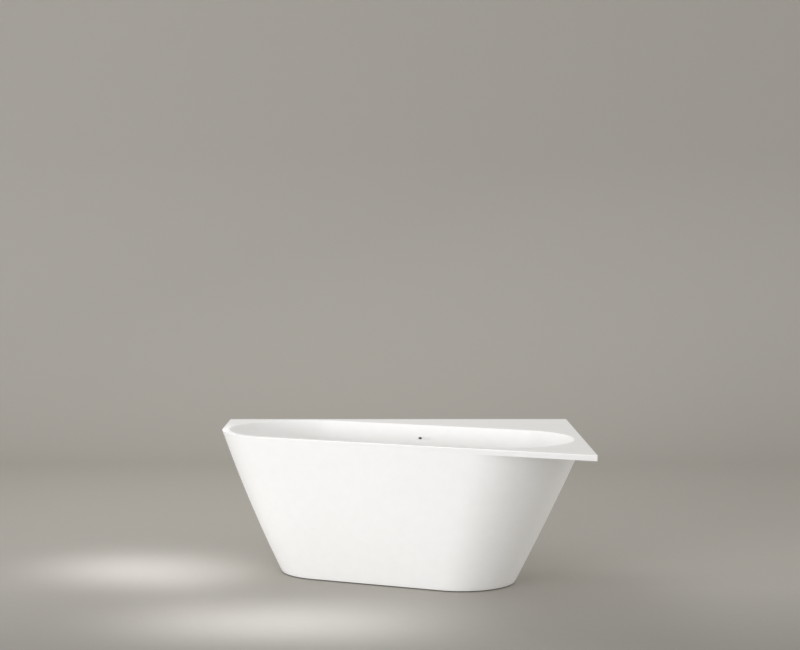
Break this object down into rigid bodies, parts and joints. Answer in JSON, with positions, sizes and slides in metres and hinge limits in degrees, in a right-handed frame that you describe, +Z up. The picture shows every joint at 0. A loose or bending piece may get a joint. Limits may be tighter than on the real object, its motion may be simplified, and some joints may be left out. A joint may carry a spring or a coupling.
{
  "type": "corner bathtub",
  "caption": "Corner bathtub: a rounded bowl set diagonally in a wedge-shaped deck, with a tapering apron, push-open waste and overflow, levelling feet and wall brackets.",
  "frame": {"origin": "on the floor, under the middle of the deck's outline", "axes": "+X along the back wall towards the room corner, +Y towards the back wall, +Z up"},
  "size_m": [1.5, 1.19, 0.615],
  "materials": {
    "white_composite": "satin",
    "chromed_brass": "polished",
    "stainless_steel": "satin",
    "black_rubber": "matte",
    "white_polypropylene": "matte",
    "grey_plastic_pipe": "matte",
    "birch_plywood": "matte",
    "zinc_plated_steel": "satin",
    "brass": "satin",
    "black_nylon": "matte"
  },
  "bodies": {
    "bath": {"basin": "white_composite", "apron": "white_composite", "drain_flange": "chromed_brass", "overflow_screws": "stainless_steel", "flange_gasket": "black_rubber", "waste_gasket": "black_rubber", "trap_inlet_seal": "black_rubber", "trap_outlet_seal": "black_rubber", "overflow_gasket": "black_rubber", "overflow_pipe_seal": "black_rubber", "waste_body": "white_polypropylene", "trap_bend": "white_polypropylene", "trap_inlet_nut": "white_polypropylene", "trap_outlet_nut": "white_polypropylene", "trap_cleanout_cap": "white_polypropylene", "overflow_elbow": "white_polypropylene", "overflow_pipe_nut": "white_polypropylene", "outlet_pipe": "white_polypropylene", "overflow_pipe": "grey_plastic_pipe", "plug_cartridge": "grey_plastic_pipe", "base_board": "birch_plywood", "left_rail": "zinc_plated_steel", "right_rail": "zinc_plated_steel", "foot_bosses": "zinc_plated_steel", "foot_lock_nuts": "zinc_plated_steel", "rail_screws": "zinc_plated_steel", "bracket_screws": "zinc_plated_steel", "back_left_bracket": "zinc_plated_steel", "back_right_bracket": "zinc_plated_steel", "side_rear_bracket": "zinc_plated_steel", "side_front_bracket": "zinc_plated_steel", "deck_inserts": "brass"},
    "plug": {"plug_cap": "white_composite", "plug_seal": "black_rubber", "plug_stem": "stainless_steel"},
    "front_left_foot": {"front_left_foot_rod": "zinc_plated_steel", "front_left_foot_pad": "black_nylon"},
    "front_right_foot": {"front_right_foot_rod": "zinc_plated_steel", "front_right_foot_pad": "black_nylon"},
    "back_left_foot": {"back_left_foot_rod": "zinc_plated_steel", "back_left_foot_pad": "black_nylon"},
    "back_right_foot": {"back_right_foot_rod": "zinc_plated_steel", "back_right_foot_pad": "black_nylon"}
  },
  "joints": [
    {"name": "plug_lift", "type": "slide", "parent": "bath", "child": "plug", "axis": [0, 0, 1], "range_m": [0, 0.009]},
    {"name": "front_left_foot_slide", "type": "slide", "parent": "bath", "child": "front_left_foot", "axis": [0, 0, -1], "range_m": [0, 0.02]},
    {"name": "front_right_foot_slide", "type": "slide", "parent": "bath", "child": "front_right_foot", "axis": [0, 0, -1], "range_m": [0, 0.02]},
    {"name": "back_left_foot_slide", "type": "slide", "parent": "bath", "child": "back_left_foot", "axis": [0, 0, -1], "range_m": [0, 0.02]},
    {"name": "back_right_foot_slide", "type": "slide", "parent": "bath", "child": "back_right_foot", "axis": [0, 0, -1], "range_m": [0, 0.02]}
  ]
}
